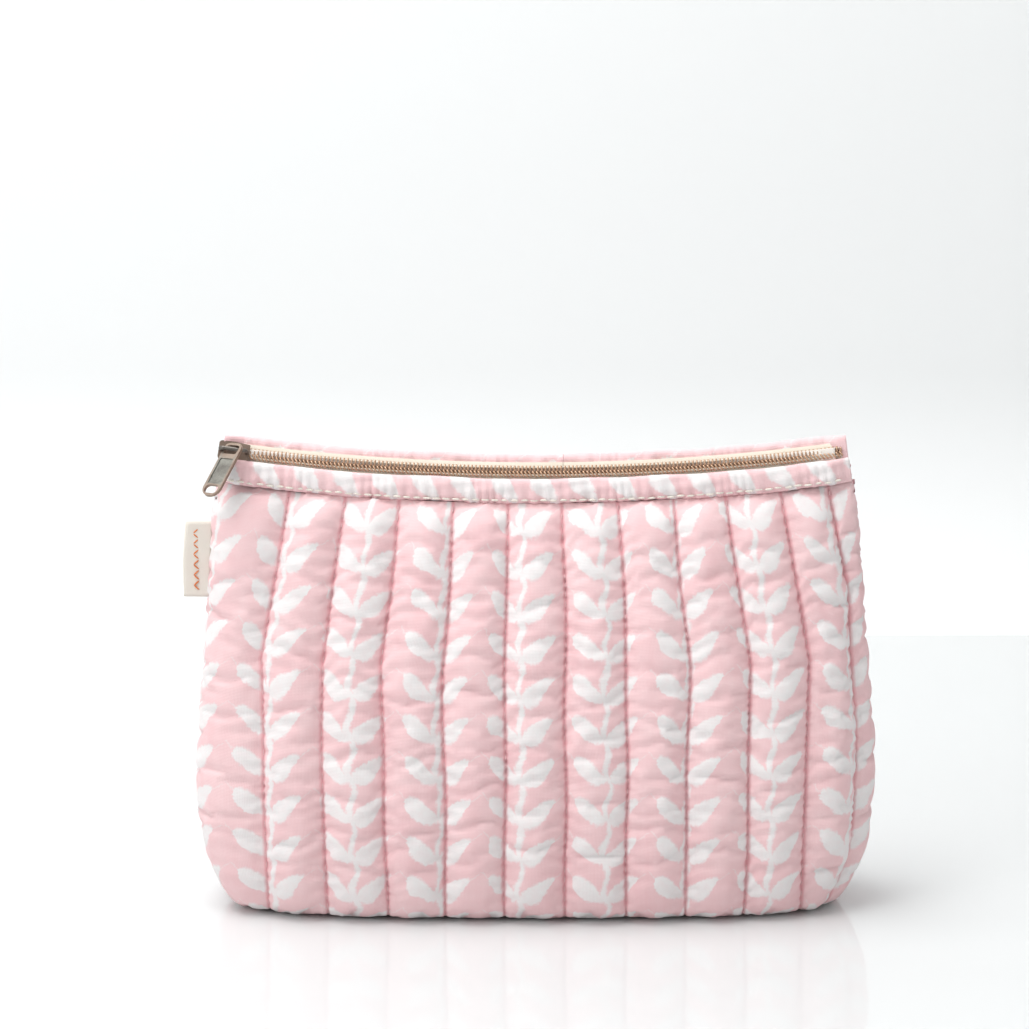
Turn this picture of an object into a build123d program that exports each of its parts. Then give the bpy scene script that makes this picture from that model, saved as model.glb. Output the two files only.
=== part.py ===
from build123d import *
import os
from math import asin, cos, degrees, radians, sin, sqrt, tan

# A quilted cotton pouch: a front and a back panel on a boxed base, closed along the top by a
# coil zip between two bound edges. The bag stands on the XY plane, +Y is its back, +Z is up.

# Panel layers, from the outside in
OUTER = 0.6
WADDING = 3.6
LINING = 0.6
THICKNESS = OUTER + WADDING + LINING
LAYER_GAP = 0.05
PANEL_GAP = 0.15  # from the side seam's plane to each panel's edge

# The bag's outline at each height: height, half width, depth to the front, depth to the back
STATIONS = [
    (0, 94, 28, 28),
    (8, 101.5, 31, 31),
    (37, 110.5, 32, 32.5),
    (82, 108, 24, 25.5),
    (122, 105.5, 10.5, 12),
    (150, 98.5, 6.2, 8.4),
]
CORNER_ALONG = 0.8  # how far the flat of each panel runs towards the side seam
CORNER_ACROSS = 0.85  # how square the bag's sides are
REACH = 130  # beyond the bag on every side

# The zip sags in the middle: its line is an arc about a far centre above the bag
ZIP_LOW = 142
ZIP_RADIUS = 742
ZIP_CENTRE = ZIP_LOW + ZIP_RADIUS
ZIP_TILT = 70  # the zip's face turns this far from level towards the front
ZIP_LEFT = 95
ZIP_RIGHT = 98
COIL_WIDTH = 2.05
COIL_THICKNESS = 1.1
COIL_GAP = 0.05
TAPE = 0.28
TAPE_BACK = -0.75  # the tape's rear face, behind the zip's middle surface
TAPE_REACH = 3.3
TAPE_HEM = 7.6  # how far the tape is sewn down inside the binding

# Bindings over the panels' top edges, measured from the zip's line
BINDING_HALF_LENGTH = 98
BINDING_HEIGHT = 8
BINDING = 2.8
FRONT_BINDING_TOP = -3.3
BACK_BINDING_TOP = 3.0
FRONT_BINDING_FACE = -4.0
BACK_BINDING_FACE = 6.0
BINDING_ROUND = 1.0
TOPSTITCH = 0.5

# Slider, bail and puller
SLIDER_FROM_CENTRE = 96.9
SLIDER_LENGTH = 10
SLIDER_HALF_WIDTH = 3.1
SLIDER_TAIL_HALF_WIDTH = 2.6
PLATE = 0.5
PLATE_INSIDE = 0.9
PLATE_FACE = PLATE_INSIDE + PLATE
FLANGE = 0.55
FLANGE_TIP = -0.25
POST_WIDTH = 1.5
POST_FROM_NOSE = 1.6
BAIL_HEIGHT = 4.6
BAIL_RADIUS = 0.65
BAIL_HALF_SPAN = 4.2
BAIL_BEND = 1.3
PULLER_BELOW = 18.6
PULLER_ABOVE = 2.0
PULLER_HALF_WIDTH = 3.45
PULLER = 1.0
TIP_ROUND = 0.95
EYE_ROUND = 0.6
RIM = 0.9
EYE_LENGTH = 3.4
SLOT_LENGTH = 3.2
RECESS = 0.25
PULLER_SKEW = 30
PULLER_SIDE_LEAN = 27
PULLER_FRONT_LEAN = 38

# Base and seams inside
FLOOR_TOP = THICKNESS
BACK_LIFT = 0.3  # the back panel turns on the base, so it clears it a little
SEAM_BINDING = 1.3
SEAM_FIN = 8
SEAM_TAPER = 5
SIDE_SEAM_BOTTOM = 18
SIDE_SEAM_TOP = 112
CORNER_SEAM_X = 80
CORNER_SEAM_LENGTH = 32

# Quilting
CHANNEL_TOP = 17.8
CHANNEL_BOTTOM = 18.6
LINES_LEFT = -4.5  # the lines, in channels from the middle: the last one is near the right seam
LINES = 10
LAST_LINE = 5.35
THREAD = 0.3
QUILT_BOTTOM = 8
QUILT_TOP = 128

# Label
LABEL_LEFT = -113.5
LABEL_BOTTOM = 101
LABEL_TOP = 126
LABEL = 0.8
LABEL_FOLD = 1.0

os.makedirs("parts", exist_ok=True)
zip_axis = Axis((0, 0, ZIP_CENTRE), (0, -1, 0))


def zip_height(x, above):
    """Height at x of a line that runs beside the zip's own arc."""
    return ZIP_CENTRE - sqrt((ZIP_RADIUS - above) ** 2 - x**2)


def zip_turn(x):
    return asin(x / ZIP_RADIUS)


def zip_plane(x):
    """Section plane across the zip at x: its own x runs to the back and its own y up."""
    turn = zip_turn(x)
    place = (ZIP_RADIUS * sin(turn), 0, ZIP_CENTRE - ZIP_RADIUS * cos(turn))
    return Plane(origin=place, x_dir=(0, 1, 0), z_dir=(cos(turn), 0, sin(turn)))


def zip_span(left, right):
    return degrees(zip_turn(right) - zip_turn(left))


def on_zip(across, out):
    """A point in the section plane, from its place across and out of the tilted zip."""
    tilt = radians(ZIP_TILT)
    return (across * cos(tilt) - out * sin(tilt), across * sin(tilt) + out * cos(tilt))


def save(piece, name):
    piece.part.label = name
    export_step(piece.part, f"parts/{name}.step")


def outline(height, half, front, back):
    """One level outline of the bag: flat front and back, rounded towards both side seams."""
    with BuildSketch(Plane.XY.offset(height)) as level:
        with BuildLine():
            for depth, start in ((back, half), (-front, -half)):
                Bezier(
                    (start, 0),
                    (start, CORNER_ACROSS * depth),
                    (CORNER_ALONG * start, depth),
                    (0, depth),
                )
                Bezier(
                    (0, depth),
                    (-CORNER_ALONG * start, depth),
                    (-start, CORNER_ACROSS * depth),
                    (-start, 0),
                )
        make_face()
    return level.sketch


def form(inset):
    """The bag's whole form, moved in by an inset."""
    with BuildPart() as whole:
        levels = [outline(z, w - inset, f - inset, b - inset) for z, w, f, b in STATIONS]
        loft(levels)
    return whole.part


def wall_zone(side, top):
    """Everything above the floor and below the binding, on one side of the seams."""
    with BuildPart() as zone:
        with BuildSketch(Plane.XZ.offset(-side * PANEL_GAP)):
            with BuildLine():
                Polyline(
                    (REACH, zip_height(REACH, top)),
                    (REACH, FLOOR_TOP + WALL_LIFT[side]),
                    (-REACH, FLOOR_TOP + WALL_LIFT[side]),
                    (-REACH, zip_height(REACH, top)),
                )
                ThreePointArc(
                    (-REACH, zip_height(REACH, top)),
                    (0, zip_height(0, top)),
                    (REACH, zip_height(REACH, top)),
                )
            make_face()
        extrude(amount=-side * REACH)
    return zone.part


FRONT, BACK = -1, 1
WALL_LIFT = {FRONT: 0, BACK: BACK_LIFT}
WALL_TOP = {FRONT: FRONT_BINDING_TOP - BINDING_HEIGHT, BACK: BACK_BINDING_TOP - BINDING_HEIGHT}
PANEL = {FRONT: "front", BACK: "back"}
LAYERS = {
    "outer": (0, OUTER),
    "wadding": (OUTER + LAYER_GAP, OUTER + WADDING),
    "lining": (OUTER + WADDING + LAYER_GAP, THICKNESS),
}
insets = [-THREAD] + [inset for pair in LAYERS.values() for inset in pair]
forms = {inset: form(inset) for inset in insets}

# Front and back panels: printed cloth, wadding and lining
for side in (FRONT, BACK):
    zone = wall_zone(side, WALL_TOP[side])
    for layer, (outside, inside) in LAYERS.items():
        with BuildPart() as panel_layer:
            add(forms[outside])
            add(zone, mode=Mode.INTERSECT)
            add(forms[inside], mode=Mode.SUBTRACT)
        save(panel_layer, f"{PANEL[side]}_{layer}")

# Base: the same three layers, lying flat under the panels
for layer, (outside, inside) in LAYERS.items():
    with BuildPart() as base_layer:
        add(forms[outside])
        with BuildSketch(Plane.XY.offset(outside)):
            Rectangle(2 * REACH, REACH)
        extrude(amount=inside - outside, mode=Mode.INTERSECT)
    save(base_layer, f"base_{layer}")

# Quilting: rows of thread that run up the outside of both panels and fan out towards the base
for side in (FRONT, BACK):
    with BuildPart() as quilting:
        add(forms[-THREAD])
        with BuildSketch(Plane.XZ):
            for line in [LINES_LEFT + step for step in range(LINES)] + [LAST_LINE]:
                low = (line * CHANNEL_BOTTOM, QUILT_BOTTOM)
                high = (line * CHANNEL_TOP, QUILT_TOP)
                with BuildLine():
                    Polyline(
                        (low[0] - THREAD, low[1]),
                        (low[0] + THREAD, low[1]),
                        (high[0] + THREAD, high[1]),
                        (high[0] - THREAD, high[1]),
                        close=True,
                    )
                make_face()
        extrude(amount=-side * REACH, mode=Mode.INTERSECT)
        add(forms[0], mode=Mode.SUBTRACT)
    save(quilting, f"{PANEL[side]}_quilting")

# Bindings: folded strips over the panels' top edges, each with one row of topstitching
zip_bindings = {
    FRONT: (FRONT_BINDING_FACE, FRONT_BINDING_TOP),
    BACK: (BACK_BINDING_FACE, BACK_BINDING_TOP),
}
half_span = 2 * degrees(zip_turn(BINDING_HALF_LENGTH))
for side, (face, top) in zip_bindings.items():
    middle = face - side * BINDING / 2
    with BuildPart() as binding:
        with BuildSketch(zip_plane(-BINDING_HALF_LENGTH)) as section:
            with Locations((middle, top - BINDING_HEIGHT / 2)):
                Rectangle(BINDING, BINDING_HEIGHT)
            fillet(section.vertices().group_by(Axis.Z)[-1], BINDING_ROUND)
        revolve(axis=zip_axis, revolution_arc=half_span)
    save(binding, f"{PANEL[side]}_binding")
    with BuildPart() as topstitch:
        with BuildSketch(zip_plane(-BINDING_HALF_LENGTH)):
            with Locations((face + side * TOPSTITCH / 2, top - BINDING_HEIGHT + TOPSTITCH)):
                Rectangle(TOPSTITCH, TOPSTITCH)
        revolve(axis=zip_axis, revolution_arc=half_span)
    save(topstitch, f"{PANEL[side]}_topstitch")

# Zip: one coil and one tape on each side, tilted with the zip and sewn down inside the binding
tape_face = TAPE_BACK + TAPE / 2
for side in (FRONT, BACK):
    coil_middle = side * (COIL_GAP + COIL_WIDTH / 2)
    with BuildPart() as coil:
        with BuildSketch(zip_plane(-ZIP_LEFT)):
            with Locations(on_zip(coil_middle, TAPE_BACK + TAPE + COIL_THICKNESS / 2)):
                Rectangle(COIL_WIDTH, COIL_THICKNESS, rotation=ZIP_TILT)
        revolve(axis=zip_axis, revolution_arc=zip_span(-ZIP_LEFT, ZIP_RIGHT))
    save(coil, f"{PANEL[side]}_coil")
    fold = on_zip(side * TAPE_REACH, tape_face)
    hem = zip_bindings[side][0] - side * (BINDING + TAPE)
    with BuildPart() as tape:
        with BuildSketch(zip_plane(-ZIP_LEFT)):
            with BuildLine() as path:
                Polyline(
                    on_zip(side * COIL_GAP, tape_face),
                    fold,
                    (hem, zip_bindings[side][1] - TAPE),
                    (hem, zip_bindings[side][1] - TAPE_HEM),
                )
            trace(line_width=TAPE)
        revolve(axis=zip_axis, revolution_arc=zip_span(-ZIP_LEFT, ZIP_RIGHT))
    save(tape, f"{PANEL[side]}_zip_tape")

# Slider: two plates joined by a post at the nose, with flanges that close round the coils
turn = zip_turn(-SLIDER_FROM_CENTRE)
tilt = radians(ZIP_TILT)
slider_origin = Vector(ZIP_RADIUS * sin(turn), 0, ZIP_CENTRE - ZIP_RADIUS * cos(turn))
along = Vector(cos(turn), 0, sin(turn))
outward = Vector(-cos(tilt) * sin(turn), -sin(tilt), cos(tilt) * cos(turn))
slider_plane = Plane(origin=slider_origin, x_dir=along, z_dir=outward)
nose = -SLIDER_LENGTH / 2
with BuildPart() as slider_body:
    for face in (PLATE_INSIDE, -PLATE_FACE):
        with BuildSketch(slider_plane.offset(face)) as plate:
            with BuildLine():
                Polyline(
                    (nose, -SLIDER_HALF_WIDTH),
                    (0, -SLIDER_HALF_WIDTH),
                    (-nose, -SLIDER_TAIL_HALF_WIDTH),
                    (-nose, SLIDER_TAIL_HALF_WIDTH),
                    (0, SLIDER_HALF_WIDTH),
                    (nose, SLIDER_HALF_WIDTH),
                    close=True,
                )
            make_face()
            fillet(plate.vertices().group_by(SortBy.DISTANCE)[-1], 1)
        extrude(amount=PLATE)
    with BuildSketch(slider_plane.offset(FLANGE_TIP)):
        with Locations(
            (nose / 2 + FLANGE / 2, SLIDER_HALF_WIDTH - FLANGE / 2),
            (nose / 2 + FLANGE / 2, FLANGE / 2 - SLIDER_HALF_WIDTH),
        ):
            Rectangle(-nose - FLANGE, FLANGE)
    extrude(amount=PLATE_INSIDE - FLANGE_TIP)
    with BuildSketch(slider_plane.offset(-PLATE_INSIDE)):
        with Locations((nose + POST_FROM_NOSE, 0)):
            SlotOverall(2 * POST_WIDTH, POST_WIDTH)
    extrude(amount=2 * PLATE_INSIDE)
save(slider_body, "slider_body")

# Bail: the round bar over the slider that the puller hangs on
bail_plane = Plane(origin=slider_origin, x_dir=along, z_dir=outward.cross(along) * -1)
with BuildPart() as slider_bail:
    with BuildLine() as bail_path:
        FilletPolyline(
            bail_plane.from_local_coords((-BAIL_HALF_SPAN, PLATE_FACE)),
            bail_plane.from_local_coords((-BAIL_HALF_SPAN, BAIL_HEIGHT)),
            bail_plane.from_local_coords((BAIL_HALF_SPAN, BAIL_HEIGHT)),
            bail_plane.from_local_coords((BAIL_HALF_SPAN, PLATE_FACE)),
            radius=BAIL_BEND,
        )
    with BuildSketch(Plane(origin=bail_path.line @ 0, z_dir=bail_path.line % 0)):
        Circle(BAIL_RADIUS)
    sweep()
save(slider_bail, "slider_bail")

# Puller: a flat tab with raised rims, an eye round the bail and a slot at its tip.  It hangs to
# the left and forwards, turned on its own length so that the bail passes through the eye
hang = Vector(-tan(radians(PULLER_SIDE_LEAN)), -tan(radians(PULLER_FRONT_LEAN)), -1).normalized()
level_bar = (along - hang * along.dot(hang)).normalized()
across = level_bar * cos(radians(PULLER_SKEW)) + hang.cross(level_bar) * sin(radians(PULLER_SKEW))
pivot = slider_origin + outward * BAIL_HEIGHT
puller_plane = Plane(origin=pivot, x_dir=across, z_dir=hang.cross(across))
middle = (PULLER_ABOVE - PULLER_BELOW) / 2
length = PULLER_ABOVE + PULLER_BELOW
inner = PULLER_HALF_WIDTH - RIM
eye_top = PULLER_ABOVE - RIM
slot_bottom = RIM - PULLER_BELOW
recess_top = eye_top - EYE_LENGTH - 2 * RIM
recess_bottom = slot_bottom + SLOT_LENGTH + RIM / 2
with BuildPart() as puller:
    with BuildSketch(puller_plane.offset(-PULLER / 2)) as tab:
        with Locations((0, middle)):
            Rectangle(2 * PULLER_HALF_WIDTH, length)
        fillet(tab.vertices().sort_by(Axis.Y)[:2], PULLER_HALF_WIDTH * TIP_ROUND)
        fillet(tab.vertices().sort_by(Axis.Y)[-2:], PULLER_HALF_WIDTH * EYE_ROUND)
    extrude(amount=PULLER)
    with BuildSketch(puller_plane.offset(-PULLER / 2)):
        with Locations((0, eye_top - EYE_LENGTH / 2)):
            RectangleRounded(2 * inner, EYE_LENGTH, RIM)
        with Locations((0, slot_bottom + SLOT_LENGTH / 2)):
            RectangleRounded(2 * inner, SLOT_LENGTH, SLOT_LENGTH * 0.45)
    extrude(amount=PULLER, mode=Mode.SUBTRACT)
    for level in (-PULLER / 2, PULLER / 2 - RECESS):
        with BuildSketch(puller_plane.offset(level)):
            with Locations((0, (recess_top + recess_bottom) / 2)):
                RectangleRounded(2 * inner, recess_top - recess_bottom, RIM / 2)
        extrude(amount=RECESS, mode=Mode.SUBTRACT)
save(puller, "puller")

# Seams inside: bound strips up both side seams, and across both corners of the base
for sign, name in ((-1, "left"), (1, "right")):
    with BuildPart() as side_seam:
        with BuildSketch(Plane.XZ.offset(PANEL_GAP)):
            with BuildLine():
                edge = [
                    (sign * (w - THICKNESS - SEAM_BINDING), z) for z, w, f, b in STATIONS[2:4]
                ]
                Polyline(
                    (edge[0][0] - sign * SEAM_TAPER, SIDE_SEAM_BOTTOM),
                    edge[0],
                    edge[1],
                    (edge[1][0] - sign * SEAM_TAPER, SIDE_SEAM_TOP),
                    (edge[1][0] - sign * (SEAM_FIN + SEAM_TAPER), SIDE_SEAM_TOP),
                    (edge[1][0] - sign * SEAM_FIN, edge[1][1]),
                    (edge[0][0] - sign * SEAM_FIN, edge[0][1]),
                    (edge[0][0] - sign * (SEAM_FIN + SEAM_TAPER), SIDE_SEAM_BOTTOM),
                    close=True,
                )
            make_face()
        extrude(amount=SEAM_BINDING)
    save(side_seam, f"side_seam_{name}")
    with BuildPart() as corner_seam:
        with BuildSketch(Plane.XY.offset(FLOOR_TOP)):
            with Locations((sign * CORNER_SEAM_X, 0)):
                RectangleRounded(SEAM_FIN, CORNER_SEAM_LENGTH, SEAM_BINDING)
        extrude(amount=SEAM_BINDING)
    save(corner_seam, f"corner_seam_{name}")

# Label: a folded cotton tab that stands out of the left side seam
with BuildPart() as label_tab:
    with BuildSketch(Plane.XZ.offset(PANEL_GAP + LABEL / 2)):
        with Locations((LABEL_LEFT / 2, (LABEL_BOTTOM + LABEL_TOP) / 2)):
            Rectangle(-LABEL_LEFT, LABEL_TOP - LABEL_BOTTOM)
    extrude(amount=LABEL)
    add(forms[0], mode=Mode.SUBTRACT)
save(label_tab, "label_tab")
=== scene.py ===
from math import cos, pi, radians, sin

import bpy
import numpy as np
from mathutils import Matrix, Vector


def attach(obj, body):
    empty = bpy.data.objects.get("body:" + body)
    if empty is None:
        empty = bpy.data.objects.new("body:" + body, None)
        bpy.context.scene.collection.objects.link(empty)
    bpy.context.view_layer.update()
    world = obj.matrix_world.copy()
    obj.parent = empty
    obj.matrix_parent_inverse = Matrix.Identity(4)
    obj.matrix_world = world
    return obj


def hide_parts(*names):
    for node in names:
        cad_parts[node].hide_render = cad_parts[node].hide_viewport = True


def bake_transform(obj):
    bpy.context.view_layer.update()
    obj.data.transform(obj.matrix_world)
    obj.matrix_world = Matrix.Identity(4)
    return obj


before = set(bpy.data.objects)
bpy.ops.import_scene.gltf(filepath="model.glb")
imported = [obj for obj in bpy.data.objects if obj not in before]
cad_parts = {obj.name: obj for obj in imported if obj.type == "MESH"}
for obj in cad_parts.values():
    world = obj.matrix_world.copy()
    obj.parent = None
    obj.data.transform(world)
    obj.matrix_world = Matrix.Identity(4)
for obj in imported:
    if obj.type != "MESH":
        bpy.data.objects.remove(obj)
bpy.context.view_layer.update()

MM = 0.001
ROOT, WALL = "bag_body", "back_wall"
FRONT, BACK = -1, 1

# The bag's outline at each height, in millimetres: height, half width, front and back depth
LEVELS = np.array([0, 8, 20, 37, 60, 82, 105, 120, 127, 132, 138, 152.0])
HALF_WIDTHS = np.array([98.5, 102.5, 107, 109.7, 109.4, 107.5, 106.1, 105.2, 104.4, 103.4, 102, 99.5])
DEPTHS = {
    FRONT: np.array([29, 31, 31.8, 31.4, 28.4, 23.6, 16.6, 11.4, 8.4, 5.0, 4.7, 4.4]),
    BACK: np.array([29, 31, 32.2, 32, 29.4, 25, 18.4, 13.6, 11.6, 9.8, 7.0, 6.6]),
}
ZIP_LOW, ZIP_RADIUS, ZIP_TILT = 142.0, 742.0, radians(70)
ZIP_CENTRE = ZIP_LOW + ZIP_RADIUS
FOOT_ROUND = 5.5
SEAM_REACH = 106  # how far out the back's side seams stand from the middle

# Quilting: the lines counted in channels from the middle, the last one close to the side seam
LINES = [-4.5 + step for step in range(10)] + [5.38]
LINE_PITCH = (0, 82, 135), (19.1, 19.5, 17.4)  # heights, and the channels' width there
BASE_LINE_PITCH = 18.9
SPLIT_LINE = 5  # the quilting line where the back's two halves meet
SEWN_PUFF = 1.7  # before the cloth simulation fills the channels
ROWS, PER_CHANNEL = 104, 14
FRONT_TOP, BACK_TOP = -9.4, -3.4  # the panels' top edges, from the zip's arc

# Lining
LINING_INSET, LINING_ROWS, LINING_PER_CHANNEL, LINING_PUFF = 4.6, 60, 8, 0.9
LINING_FLOOR, LINING_RISE = 4.4, 5

# Bindings: the outer face from the zip's plane, and the top edge from the zip's arc
FRONT_FACE, FRONT_EDGE = -4.0, -2.4
BACK_FACE, BACK_EDGE = 6.0, 4.6
BINDING_HEIGHT, BINDING_WIDTH, BINDING_END, BINDING_SEED = 7.2, 3.0, 100.5, 51
TOPSTITCH_DROP, TOPSTITCH_PITCH = 6.3, 3.1

# Zip
COIL_PITCH, COIL_RADIUS = 1.25, 0.29
ZIP_LEFT, ZIP_RIGHT = -94.5, 98.5


# ---------- small maths ----------

def smooth_interp(x, xs, ys):
    """Smooth curve through a few points: cubic Hermite with averaged slopes."""
    slopes = np.gradient(ys, xs)
    i = np.clip(np.searchsorted(xs, x) - 1, 0, len(xs) - 2)
    h = xs[i + 1] - xs[i]
    t = np.clip((x - xs[i]) / h, 0, 1)
    a, b = ys[i], ys[i + 1]
    return ((2 * t**3 - 3 * t**2 + 1) * a + (t**3 - 2 * t**2 + t) * h * slopes[i]
            + (3 * t**2 - 2 * t**3) * b + (t**3 - t**2) * h * slopes[i + 1])


def smoothstep(t):
    """0 to 1 with level ends."""
    t = np.clip(t, 0, 1)
    return t * t * (3 - 2 * t)


def waves(x, y, seed, scale):
    """Gentle seeded unevenness: a sum of sine waves, about -1 to 1."""
    r = np.random.default_rng(seed)
    total = 0
    for _ in range(7):
        angle, k = r.uniform(0, 2 * pi), r.uniform(0.6, 1.6) / scale
        total = total + np.sin(2 * pi * k * (x * cos(angle) + y * sin(angle)) + r.uniform(0, 6.3))
    return total / 3.5


def zip_height(x, above=0.0):
    """Height of the zip's sagging arc, or of the arc a little above or below it."""
    return ZIP_CENTRE - np.sqrt((ZIP_RADIUS - above) ** 2 - x**2)


def zip_point(x, across, out):
    """A point beside the zip's arc, from its place across the tilted zip and out of its face."""
    y = across * cos(ZIP_TILT) - out * sin(ZIP_TILT)
    up = across * sin(ZIP_TILT) + out * cos(ZIP_TILT)
    return beside_zip(x, y, up)


def beside_zip(x, y, up):
    """A point at a place along the zip's arc, its depth, and its height over the arc."""
    turn = np.arcsin(x / ZIP_RADIUS)
    r = ZIP_RADIUS - up
    return np.stack(np.broadcast_arrays(r * np.sin(turn), y, ZIP_CENTRE - r * np.cos(turn)), -1)


def towards_end(x):
    """0 along the bag's top edge and 1 at its ends, where the bindings close together."""
    return smoothstep((np.abs(x) - 93) / 7.5)


# ---------- meshes ----------

def make(name, points, faces, material, uvs=None):
    """A piece from points in millimetres. Each point has two numbers for the cloth coordinates,
    and a quilted cloth has two more, the first of them its distance from the stitching."""
    mesh = bpy.data.meshes.new(name)
    mesh.from_pydata([tuple(p) for p in np.asarray(points) * MM], [], faces)
    if uvs is not None:
        uvs = np.asarray(uvs, dtype=np.float32)
        index = np.empty(len(mesh.loops), dtype=np.int32)
        mesh.loops.foreach_get("vertex_index", index)
        for word, pair in (("cloth", uvs[:, :2]), ("seams", uvs[:, 2:])):
            if pair.shape[1]:
                layer = mesh.uv_layers.new(name=word)
                layer.data.foreach_set("uv", pair[index].ravel())
    mesh.polygons.foreach_set("use_smooth", [True] * len(mesh.polygons))
    mesh.materials.append(material)
    mesh.validate()
    mesh.update()
    piece = bpy.data.objects.new(name, mesh)
    bpy.context.scene.collection.objects.link(piece)
    return piece


def normals_of(grid):
    """Unit normals of a grid of points."""
    du = np.gradient(grid, axis=1)
    dv = np.gradient(grid, axis=0)
    n = np.cross(du, dv)
    length = np.linalg.norm(n, axis=-1, keepdims=True)
    return n / np.maximum(length, 1e-9)


def grid_faces(rows, cols, start=0, flip=False, close_cols=False):
    """Quads between the points of a grid, which may close round on itself across its columns."""
    last_col = cols if close_cols else cols - 1
    r, c = np.meshgrid(np.arange(rows - 1), np.arange(last_col), indexing="ij")
    d = (c + 1) % cols
    quad = np.stack([r * cols + c, r * cols + d, (r + 1) * cols + d, (r + 1) * cols + c], -1)
    quad = quad.reshape(-1, 4) + start
    return (quad[:, ::-1] if flip else quad).tolist()


def sheet_mesh(name, grid, uv, thickness, material, flip=False):
    """A closed sheet of cloth: the grid is its outer face, and its inner face lies behind it."""
    rows, cols = grid.shape[:2]
    n = normals_of(grid) * (-1 if flip else 1)
    inner = grid - n * thickness
    points = np.concatenate([grid.reshape(-1, 3), inner.reshape(-1, 3)])
    faces = grid_faces(rows, cols, 0, flip) + grid_faces(rows, cols, rows * cols, not flip)
    ids = np.arange(rows * cols).reshape(rows, cols)
    rim = np.concatenate([ids[0, :-1], ids[:-1, -1], ids[-1, :0:-1], ids[:0:-1, 0]])
    nxt = np.roll(rim, -1)
    back = rows * cols
    for a, b in zip(rim.tolist(), nxt.tolist()):
        faces.append([a, a + back, b + back, b] if not flip else [b, b + back, a + back, a])
    flat_uv = uv.reshape(-1, uv.shape[-1])
    uvs = np.concatenate([flat_uv, flat_uv])
    return make(name, points, faces, material, uvs)


def tube_mesh(name, paths, radius, material, sides=6):
    """Round strands along one or more paths, joined in one mesh."""
    points, faces, uvs = [], [], []
    ring = np.linspace(0, 2 * pi, sides, endpoint=False)
    for path in paths:
        path = np.asarray(path, float)
        tangent = np.gradient(path, axis=0)
        tangent /= np.linalg.norm(tangent, axis=1, keepdims=True)
        side = np.cross(tangent, (0.02, 0.99, 0.11))
        side /= np.maximum(np.linalg.norm(side, axis=1, keepdims=True), 1e-9)
        up = np.cross(side, tangent)
        r = np.full(len(path), radius)
        r[0] = r[-1] = radius * 0.35
        body = (path[:, None] + r[:, None, None] * (np.cos(ring)[None, :, None] * side[:, None]
                + np.sin(ring)[None, :, None] * up[:, None]))
        start = len(points)
        points.extend(body.reshape(-1, 3))
        reach = np.concatenate([[0], np.cumsum(np.linalg.norm(np.diff(path, axis=0), axis=1))])
        uvs.extend([(s, t) for t in reach for s in ring])
        faces += grid_faces(len(path), sides, start, close_cols=True, flip=True)
        faces.append([start + k for k in range(sides)])
        last = start + (len(path) - 1) * sides
        faces.append([last + k for k in range(sides)][::-1])
    return make(name, points, faces, material, uvs)


# ---------- node materials ----------

class Maths:
    """Wraps a shader socket or number, so that patterns read as formulas."""
    tree = None

    def __init__(self, value):
        self.value = value

    def _node(self, operation, *inputs):
        node = Maths.tree.nodes.new("ShaderNodeMath")
        node.operation = operation
        for k, item in enumerate(inputs):
            item = item.value if isinstance(item, Maths) else item
            if isinstance(item, (int, float)):
                node.inputs[k].default_value = item
            else:
                Maths.tree.links.new(item, node.inputs[k])
        return Maths(node.outputs[0])

    def __add__(self, o):
        return self._node("ADD", self, o)

    def __radd__(self, o):
        return self._node("ADD", o, self)

    def __sub__(self, o):
        return self._node("SUBTRACT", self, o)

    def __rsub__(self, o):
        return self._node("SUBTRACT", o, self)

    def __mul__(self, o):
        return self._node("MULTIPLY", self, o)

    def __truediv__(self, o):
        return self._node("DIVIDE", self, o)

    def abs(self):
        return self._node("ABSOLUTE", self)

    def sin(self):
        return self._node("SINE", self)

    def sign(self):
        return self._node("SIGN", self)

    def wrap(self, low, high):
        return self._node("WRAP", self, high, low)

    def power(self, o):
        return self._node("POWER", self, o)

    def max(self, o):
        return self._node("MAXIMUM", self, o)

    def min(self, o):
        return self._node("MINIMUM", self, o)

    def clamp(self):
        return self.max(0.0).min(1.0)

    def step(self, low, high):
        """0 below low and 1 above high, smooth between."""
        return ((self - low) / (high - low)).clamp()


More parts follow.
